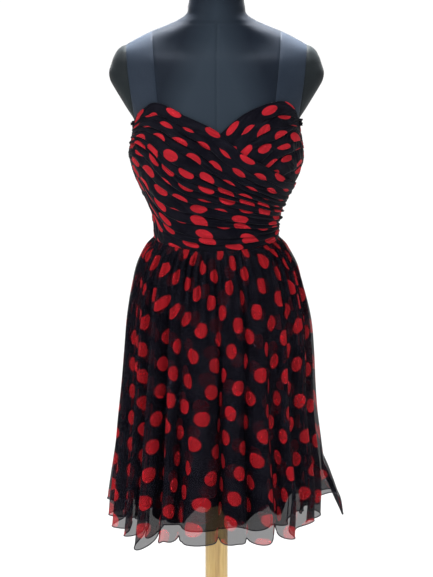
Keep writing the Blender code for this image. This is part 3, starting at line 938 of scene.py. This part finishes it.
def turned(name, profile, node, finish):
    """A piece turned round the pole's axis from radius and height pairs, closed at both ends."""
    turns = np.arange(STAND_SIDES) * 2 * math.pi / STAND_SIDES
    radius, height = np.array(profile).T
    x = radius[:, None] * np.cos(turns)
    y = radius[:, None] * np.sin(turns)
    points = np.stack([x, y, np.broadcast_to(height[:, None], x.shape)], axis=-1).reshape(-1, 3)
    faces = grid_faces(len(profile), STAND_SIDES, closed=True)
    faces.append(list(range(STAND_SIDES)))
    faces.append(list(range(len(points) - STAND_SIDES, len(points))))
    made = add_mesh(name, points, faces, [finish], sharp_angle=35.0)
    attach(made, "root")
    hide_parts(node)


def corner(radius, height, start, end, bend=EDGE_ROUND, steps=6):
    """Points of a rounded corner about a centre, between two directions in degrees."""
    turns = np.radians(np.linspace(start, end, steps + 1))
    return [(radius + bend * math.cos(turn), height + bend * math.sin(turn)) for turn in turns]


def make_stand(foot, post):
    top = BASE_THICKNESS
    small = EDGE_ROUND / 2
    profile = corner(BASE_RADIUS - small, small, -90, 0, small)
    profile += corner(BASE_RADIUS - EDGE_ROUND, top - EDGE_ROUND, 0, 90)
    profile += corner(HUB_RADIUS + EDGE_ROUND, top + EDGE_ROUND, 270, 180)
    profile += corner(HUB_RADIUS - EDGE_ROUND, HUB_TOP - EDGE_ROUND, 0, 90)
    turned("stand_base", profile, "base", foot)
    head = FORM_SECTIONS[0][0] - SEAM_GAP
    turned("stand_pole", [(POLE_RADIUS, HUB_TOP + SEAM_GAP), (POLE_RADIUS, head)], "pole", post)


def bunching(angle, height):
    """The cloth is bunched at both side seams, at the level of the bust."""
    from_seam = (np.abs(angle) - 90) / BUNCH_ANGLE
    return BUNCH_HEIGHT * bell(from_seam, (height - BUNCH_LEVEL) / BUNCH_TALL)


def along_stations(values, at):
    """The angles and heights along the angle and height pairs of one fold line."""
    pairs = np.reshape(values, (-1, 2))
    knots = np.linspace(0, 1, len(pairs))
    return smooth(np.column_stack([knots, pairs]), at)


def wrap_lines(shares, stations):
    """The angles and heights of the wrap's fold lines at these shares of the way to the waist."""
    folds = table([(fold[0], *np.ravel(fold[1:])) for fold in WRAP_FOLDS])
    lines = [along_stations(smooth(folds, float(share)), stations) for share in shares]
    return np.moveaxis(np.array(lines), 1, 0)


def crossing_point(share):
    """A point of the cup's hidden edge, tucked in under the wrap's crossing edge."""
    share = np.asarray(share, dtype=float)
    station = NECK_STATION + (1 - NECK_STATION) * share
    angle, height = wrap_lines([0.0], np.atleast_1d(station))
    return angle[0].reshape(share.shape), height[0].reshape(share.shape) - CUP_TUCK


def cup_lines(shares, stations):
    """The angles and heights of the cup's fold lines, from its top edge down."""
    folds = [(fold[0], *crossing_point(fold[1]), *np.ravel(fold[2:])) for fold in CUP_FOLDS]
    last = np.transpose(crossing_point(np.linspace(CUP_LAST_START, 1, 5)))
    folds = table([*folds, (1.0, *last.ravel())])
    starts = table([*(fold[:2] for fold in CUP_FOLDS), (1.0, CUP_LAST_START)])
    lines = []
    for share in shares:
        line = smooth(folds, float(share))
        line[:2] = crossing_point(smooth(starts, float(share))[0])
        lines.append(along_stations(line, stations))
    return np.moveaxis(np.array(lines), 1, 0)


def back_lines(shares, stations):
    """The angles and heights of a back panel's fold lines, from the side seam to the centre back."""
    shares = np.asarray(shares, dtype=float)[:, None]
    across = np.asarray(stations, dtype=float)[None, :]
    top = BACK_TOP_SIDE + (BACK_TOP_MIDDLE - BACK_TOP_SIDE) * across**1.5
    sag = BACK_SAG * np.sin(math.pi * shares) * np.sin(math.pi * across)
    height = top + (WAIST - top) * shares - sag
    return 90 + 90 * across + 0 * shares, height


def pleat_rows(pleats):
    """The rows of points down a pleated panel, with the pleats' edges as shares of the panel.

    share is a row's place on the panel, pleat its pleat, across its place on the pleat's width, rise its
    share of the pleat's height, and passed how much of the pleat's cloth lies above it.
    """
    widths = np.array(pleats)[:, 0]
    edges = np.concatenate([[0], np.cumsum(widths)]) / widths.sum()
    profile = table(PLEAT_PROFILE)
    rows = []
    for pleat in range(len(pleats)):
        for passed in np.linspace(0, 1, PLEAT_SAMPLES + 1)[:-1]:
            across, rise = smooth(profile, passed)
            share = edges[pleat] + (edges[pleat + 1] - edges[pleat]) * across
            rows.append((share, pleat, across, rise, passed))
    rows.append((1.0, len(pleats) - 1, 1.0, 0.0, 1.0))
    share, pleat, across, rise, passed = np.array(rows).T[..., None]
    pleat = pleat.astype(int)
    return SimpleNamespace(edges=edges, share=share, pleat=pleat, across=across, rise=rise, passed=passed)


def wandering_lines(lines, rows, stations, seed):
    """The angles and heights of a panel's points; its pleats wander a little from their fold lines."""
    share = np.clip(rows.share[:, 0], 0, 1)
    wander = PLEAT_WANDER * drift(seed, rows.share * 3.0, stations * 1.8)
    wander = wander * np.sin(math.pi * share)[:, None]
    wander = wander * ramp(stations, 0, 0.1) * ramp(-stations, -1, -0.9)
    angle, height = lines(share, stations)
    down_angle, down_height = lines(np.clip(rows.share[:, 0] + SMALL_SHARE, 0, 1), stations)
    angle = angle + (down_angle - angle) / SMALL_SHARE * wander
    height = height + (down_height - height) / SMALL_SHARE * wander
    return angle, height


def pleat_heights(pleats, rows, stations, angle, height, seed):
    """How tall the pleats stand: unevenly along their run, and less at the waist and beside the sides."""
    lively = 0.78 + 0.42 * drift(seed + 1, rows.pleat * 0.83, stations * 2.2)
    lively = lively + 0.16 * drift(seed + 2, rows.pleat * 0.7, stations * 6.0)
    own = np.array(pleats)[:, 1][rows.pleat]
    tall = (PLEAT_HEIGHT + bunching(angle, height)) * own * np.clip(lively, 0.12, 1.5)
    low = 1 - np.clip((height - WAIST) / WAIST_CALM_TALL, 0, 1)
    beside = ramp(np.abs(angle), *SIDE_CALM_ANGLES) * ramp(height, *SIDE_CALM_HEIGHTS)
    return tall * (1 - WAIST_CALM * low) * (1 - SIDE_CALM * beside)


def creases(rows, stations, tall, quiet, seed):
    """Puckers all over, one broken crease on each pleat, and fine wrinkles along the pleats."""
    pucker = PUCKER_HEIGHT * drift(seed + 3, rows.share * 14, stations * 16)
    crease_at = 0.42 + 0.22 * drift(seed + 4, rows.pleat * 0.9, stations * 1.6)
    crease = np.clip(drift(seed + 5, rows.pleat * 0.77, stations * 2.8) + 0.35, 0, 1.2)
    crease = crease * bell((rows.across - crease_at) / CREASE_WIDTH)
    place = rows.pleat + rows.passed
    turns = WRINKLES * place + 0.9 * drift(seed + 6, place * 0.35, stations * 3.2)
    deep = quiet * np.clip(drift(seed + 7, place * 0.5, stations * 3.6) + 0.45, 0, 1.3)
    wrinkle = WRINKLE_HEIGHT * deep * (np.abs(np.sin(math.pi * turns)) ** 0.7 - 0.6)
    return pucker - CREASE_SHARE * tall * crease + wrinkle


def with_turned_edge(angle, height, lift, base):
    """A panel's angles, heights and lifts, with its turned-in top edge before its own rows."""
    count = len(TURNED_EDGE)
    below, out = np.array(TURNED_EDGE).T[..., None]
    edge_angle = np.repeat(angle[:1], count, axis=0)
    edge_height = height[:1] - below
    edge_lift = out + (lift[:1] - base[:1]) * np.linspace(0.3, 1, count)[:, None]
    angle = np.concatenate([edge_angle, angle])
    height = np.concatenate([edge_height, height])
    return angle, height, np.concatenate([edge_lift, lift])


def cloth_above(lines, rows, stations):
    """How much flat cloth lies above each point; the last of each pleat's cloth is tucked in under it."""
    line_angle, line_height = lines(rows.edges, stations)
    lines_at = form_point(line_angle, line_height, BODICE_LIFT)
    pitch = np.linalg.norm(np.diff(lines_at, axis=0), axis=-1) * CRUSH
    cut = pitch.max(axis=1) + PLEAT_TUCK
    starts = np.concatenate([[0], np.cumsum(cut)])
    shown = pitch[rows.pleat[:, 0]]
    visible = np.minimum(rows.passed / PLEAT_TURN, 1.0)
    tucked = np.clip((rows.passed - PLEAT_TURN) / (1 - PLEAT_TURN), 0, 1)
    cloth = starts[rows.pleat] + shown * visible + (cut[rows.pleat] - shown) * tucked
    below = np.array(TURNED_EDGE)[:, :1]
    edge = np.repeat(-below, len(stations), axis=1) - EDGE_LAP
    return np.concatenate([edge, cloth])


def draped(name, lines, pleats, columns, seed, finish, over=None, calm=None, side=1):
    """A panel of pleated cloth over the form; it starts turned in over its top edge and ends at the waist.

    lines gives the angles and heights of the fold lines, over raises it and calm quietens its pleats.
    """
    rows = pleat_rows(pleats)
    stations = np.linspace(0, 1, columns)
    raised = 0.0 if over is None else over(rows.share, stations)
    quiet = 1.0 if calm is None else calm(rows.share, stations)
    angle, height = wandering_lines(lines, rows, stations, seed)
    tall = quiet * pleat_heights(pleats, rows, stations, angle, height, seed)
    base = BODICE_LIFT + BODICE_WALL + BUNCH_SPREAD * bunching(angle, height)
    lift = base + tall * rows.rise + creases(rows, stations, tall, quiet, seed) + raised
    height = height - waist_dip(angle, height)
    angle, height, lift = with_turned_edge(angle, height, lift, base)
    points = form_point(side * angle, height, lift)
    long = row_lengths(points)
    long = long - long[:, columns // 2 : columns // 2 + 1]
    flat = np.stack([long, -cloth_above(lines, rows, stations)], axis=-1).reshape(-1, 2)
    faces = grid_faces(len(points), columns)
    made = add_mesh(f"{name}_cloth", points.reshape(-1, 3), faces, [finish], flat)
    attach(made, "root")
    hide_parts(f"bodice_{name}")


def over_cup(share, station):
    """The wrap lies over the cup along its crossing edge."""
    crossing = ramp(station, NECK_STATION - 0.02, NECK_STATION + 0.08)
    return WRAP_LAP * crossing * bell(share / 0.10)


def calm_wrap(share, station):
    """The wrap is smooth low on the viewer's left, and quieter near the top of that side."""
    low_left = bell((share - 0.76) / 0.15, (station - 0.27) / 0.14)
    top_left = bell((share - 0.10) / 0.14, (station - 0.22) / 0.16)
    return 1 - 0.75 * low_left - 0.3 * top_left


def under_wrap(share, station):
    """The cup lies flat where it goes in under the wrap."""
    return -0.0012 * np.maximum(1 - ramp(station, 0.0, 0.12), ramp(share, 0.93, 1.0))


def calm_cup(share, station):
    """The cup's pleats start flat under the wrap."""
    return ramp(station, 0.02, 0.25) * (1 - 0.8 * ramp(share, 0.9, 1.0))


def make_bodice(wrap, cup, back):
    draped("wrap", wrap_lines, WRAP_PLEATS, WRAP_COLUMNS, 11, wrap, over_cup, calm_wrap)
    draped("cup", cup_lines, CUP_PLEATS, CUP_COLUMNS, 23, cup, under_wrap, calm_cup)
    for side, word, seed in ((1, "right", 37), (-1, "left", 41)):
        draped(f"back_{word}", back_lines, BACK_PLEATS, BACK_COLUMNS, seed, back, side=side)


def flute(angle):
    """How far round its flute an angle is, and that flute's width, reach and drop."""
    rows = table(FLUTES)
    turned_angle = np.mod(angle - rows[0, 0], 360) + rows[0, 0]
    found = np.searchsorted(rows[:, 0], turned_angle, side="right") - 1
    ends = np.append(rows[1:, 0], rows[0, 0] + 360)
    width = ends[found] - rows[found, 0]
    return (turned_angle - rows[found, 0]) / width, width, rows[found, 1], rows[found, 2]


def away_from(angle, middle):
    """The turn from a middle angle, between -180 and 180 degrees."""
    return np.mod(angle - middle + 180, 360) - 180


def swell(angle, middle, half_angle):
    """1 at a middle angle, and smoothly down to 0 on both sides of it."""
    return bell(away_from(angle, middle) / half_angle)


def fold_wave(angle, height, count, seed, wander, narrow):
    """Irregular upright folds: broad crests at 1 with narrow grooves at 0."""
    phase = count * np.radians(angle) + wander * ring_drift(seed, angle, height, 3, 9)
    return 1 - ((1 + np.cos(phase)) / 2) ** narrow


def skirt_folds(angle, height, growth, layer):
    """How far a layer's gathers, folds and creases stand out, and how much cloth is hidden in them."""
    order = LAYERS.index(layer)
    below = WAIST - height
    lively = 1.0
    for middle, half_angle, quiet in CALM_PANELS:
        away = away_from(angle, middle) / half_angle
        lively = lively * (1 - quiet * np.exp(-(away**4)) * ramp(below, 0.03, 0.12))
    gather = ramp(below, 0, GATHER_START) * (1 - ramp(below, *GATHER_FADE))
    strong = np.clip(1 + 0.5 * ring_drift(31 + order, angle, height, 5, 17), 0.2, 1.7)
    gathers = fold_wave(angle, height * 0.6, GATHERS, 71 + order, 1.1, 1.6)
    wave = gather * GATHER_HEIGHT * strong * (2 * gathers - 1)
    hidden = GATHER_HIDDEN * gather * (1 - gathers) * strong
    folds = lively * ramp(below, *FOLD_START) * (1 - 0.45 * growth)
    strong = np.clip(0.85 + 0.9 * ring_drift(47 + order, angle, height, 3, 11), 0.0, 2.0)
    folded = fold_wave(angle, height, FOLDS, 83 + order, 2.4, 2.2)
    wave = wave + folds * FOLD_HEIGHT * strong * (folded - 0.7)
    hidden = hidden + FOLD_HIDDEN * folds * (1 - folded) * strong
    for top_angle, hem_angle, top, depth, half_angle in SKIRT_CREASES:
        middle = top_angle + (hem_angle - top_angle) * growth
        trough = swell(angle, middle, half_angle * (0.75 + 0.5 * growth)) * ramp(top - height, 0.0, 0.12)
        wave = wave - depth * trough
        hidden = hidden + CREASE_HIDDEN * depth * trough
    return layer.folds * wave, hidden


def near_hem(angle, height, growth, fall, layer):
    """How far a layer stands out and how far it hangs down near its hem; fall is the drop of its flutes."""
    if layer.name == "outer":
        kicked = np.clip((KICK_TOP - height) / (KICK_TOP - HEM), 0, 1)
        out = KICK_REACH * kicked * swell(angle, KICK_ANGLE, KICK_HALF_ANGLE)
        out = out + RIPPLE_HEIGHT * growth * ring_drift(91, angle, height * 2, 20, 46)
        strip = swell(angle, KICK_ANGLE, KICK_STRIP_ANGLE)
        fall = fall - KICK_RISE * growth**3 * swell(angle, KICK_ANGLE, KICK_RISE_ANGLE) * (1 - strip)
        for middle, half_angle, rise in HEM_NOTCHES:
            fall = fall - rise * growth**8 * swell(angle, middle, half_angle)
        return out, fall
    out = -SIDE_INSET * growth * swell(angle, KICK_ANGLE, SIDE_INSET_ANGLE)
    if layer.name == "second":
        return out, fall + SECOND_HEM_WAVE * ring_drift(103, angle, 0.0, 9, 23) * growth**6
    angles, rises = np.array(LINING_HEM).T
    return out, -np.interp(angle, angles, rises, period=360) * growth**3


def skirt_point(angle, down, layer):
    """A point on a skirt layer, and how much cloth is hidden there; down goes from 0 to 1 at the hem."""
    order = LAYERS.index(layer)
    height = WAIST - down * (WAIST - HEM - layer.rise)
    growth = np.clip((WAIST - height) / (WAIST - HEM), 0, 1) ** 0.8
    sway = FLUTE_SWAY * growth * ring_drift(5 + order, angle, height * 1.2, 3, 8)
    across, width, reach, drop = flute(angle + sway * (1 - ramp(growth, 0.75, 1.0)))
    crest = (1 - np.cos(2 * math.pi * across)) / 2
    half_width, front, back, shift = smooth(table(SKIRT_SECTIONS), height)
    nudged = angle - growth * FLUTE_NARROWING * width * np.sin(2 * math.pi * across) / (2 * math.pi)
    x, y, out_x, out_y = section(nudged, half_width, front, back)
    folds, hidden = skirt_folds(angle, height, growth, layer)
    hidden = hidden + GROOVE_HIDDEN * growth * (1 - crest) ** 2
    flutes = growth * layer.flutes * ((reach + GROOVE_DEPTH) * crest - GROOVE_DEPTH)
    swing, fall = near_hem(angle, height, growth, drop * crest * growth**3, layer)
    near = np.clip((WAIST - height) / LAYER_START, 0, 1)
    inset = layer.inset_waist + (layer.inset_hem - layer.inset_waist) * growth**2
    moved = flutes + folds + swing - LAYER_PITCH * order - inset * near
    low = height - fall - waist_dip(angle, height)
    return np.stack([x + shift + moved * out_x, y + moved * out_y, low], axis=-1), hidden


def make_skirt_half(layer, half, middle, finish, roll):
    """One half of a skirt layer with its rolled hem, cut as part of a flat ring; gives its points."""
    angles = middle + np.linspace(-90, 90, layer.columns)
    down = np.linspace(0, 1, layer.rows) ** ROW_SPACING
    points, hidden = skirt_point(*np.meshgrid(angles, down), layer)
    spread = layer.cut * (CUT_HEM - CUT_WAIST) / CUT_LENGTH
    inner = layer.cut * CUT_WAIST / spread
    outer = inner + CUT_LENGTH - layer.rise
    share = row_lengths(points, 1 + hidden)
    turn = spread * (share / share[:, -1:] - 0.5)
    out = inner + down[:, None] * (outer - inner)
    flat = np.stack([out * np.sin(turn), inner - out * np.cos(turn)], axis=-1).reshape(-1, 2)
    faces = grid_faces(layer.rows, layer.columns)
    made = add_mesh(f"{layer.name}_{half}_cloth", points.reshape(-1, 3), faces, [finish], flat)
    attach(made, "root")
    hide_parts(f"skirt_{layer.name}_{half}")
    hem = tube(f"{layer.name}_{half}_hem", points[-1], layer.roll, roll)
    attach(hem, "root")
    return points


def make_seam_strip(word, seam, top, thick, finish):
    """The allowances of a side seam, which swell downwards and thin out again at the hem."""
    low = seam[seam[:, 2] < top]
    share = np.linspace(0, 1, len(low))
    radius = thick * (0.12 + 0.88 * ramp(share, 0.0, 0.55)) * (1 - 0.62 * ramp(share, 0.7, 1.0))
    piece = tube(f"side_seam_{word}", low, radius, finish)
    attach(piece, "root")


def make_skirt(finishes, roll):
    points = {}
    for layer in LAYERS:
        for half, middle in (("front", 0.0), ("back", 180.0)):
            points[layer.name, half] = make_skirt_half(layer, half, middle, finishes[layer.name], roll)
    for word, column, top, thick in SEAM_STRIPS:
        make_seam_strip(word, points["outer", "front"][:, column], top, thick, roll)


def add_light(name, at, aim, size, power, spread):
    """A soft rectangular light aimed at a point."""
    lamp = bpy.data.lights.new(name, "AREA")
    lamp.shape = "RECTANGLE"
    lamp.size, lamp.size_y = size
    lamp.spread = math.radians(spread)
    lamp.energy = power
    turned_by = (Vector(aim) - Vector(at)).to_track_quat("-Z", "Y").to_euler()
    add_object(name, lamp, at, turned_by).visible_camera = False


def make_floor():
    corners = [(-1, -1, 0), (1, -1, 0), (1, 1, 0), (-1, 1, 0)]
    points = np.array(corners) * FLOOR_REACH
    floor = add_mesh("floor", points, [(0, 1, 2, 3)], [plain("floor", FLOOR_COLOUR, 0.9)])


def make_sky():
    world = bpy.data.worlds.new("studio")
    world.use_nodes = True
    sky = world.node_tree.nodes["Background"]
    sky.inputs["Color"].default_value = (1.0, 1.0, 1.0, 1.0)
    sky.inputs["Strength"].default_value = SKY_STRENGTH
    bpy.context.scene.world = world
    sun = bpy.data.lights.new("skylight", "SUN")
    sun.energy = SUN_STRENGTH
    sun.angle = math.radians(SUN_SPREAD)
    add_object("skylight", sun, turned_by=[math.radians(turn) for turn in SUN_TILT])


def make_camera():
    view = bpy.data.cameras.new("camera")
    view.lens = CAMERA_LENS
    view.sensor_width = CAMERA_SENSOR
    tilt = (math.radians(90 - CAMERA_TILT), 0, 0)
    bpy.context.scene.camera = add_object("camera", view, CAMERA_AT, tilt)


def make_studio():
    make_floor()
    make_sky()
    for light in LIGHTS:
        add_light(*light)
    make_camera()
    scene = bpy.context.scene
    scene.view_settings.view_transform = "Standard"
    scene.cycles.transparent_max_bounces = CLEAR_LAYERS


make_studio()
make_stand(
    foot=pine("foot pine", stretch=(0.06, 1.0, 1.0)),
    post=pine("pole pine", stretch=(1.0, 1.0, 0.06)),
)
make_form([form_cloth(*jersey) for jersey in JERSEYS])
make_bodice(
    wrap=chiffon("wrap chiffon", turn=45.0, shift=(0.10, 0.35), **BODICE_CHIFFON),
    cup=chiffon("cup chiffon", turn=52.0, shift=(0.45, 0.20), **BODICE_CHIFFON),
    back=chiffon("back chiffon", turn=32.0, shift=(0.30, 0.60), **BODICE_CHIFFON),
)
make_skirt(
    finishes={
        "outer": chiffon("outer chiffon", turn=21.5, shift=(0.15, 0.40), **SKIRT_CHIFFON),
        "second": chiffon("second chiffon", turn=14.0, shift=(0.62, 0.10), **SKIRT_CHIFFON),
        "lining": dark_cloth("lining", ground=(0.006, 0.007, 0.013), roughness=0.45, sheen=0.1),
    },
    roll=dark_cloth("rolled hem", ground=(0.012, 0.012, 0.016), roughness=0.7, sheen=0.1),
)
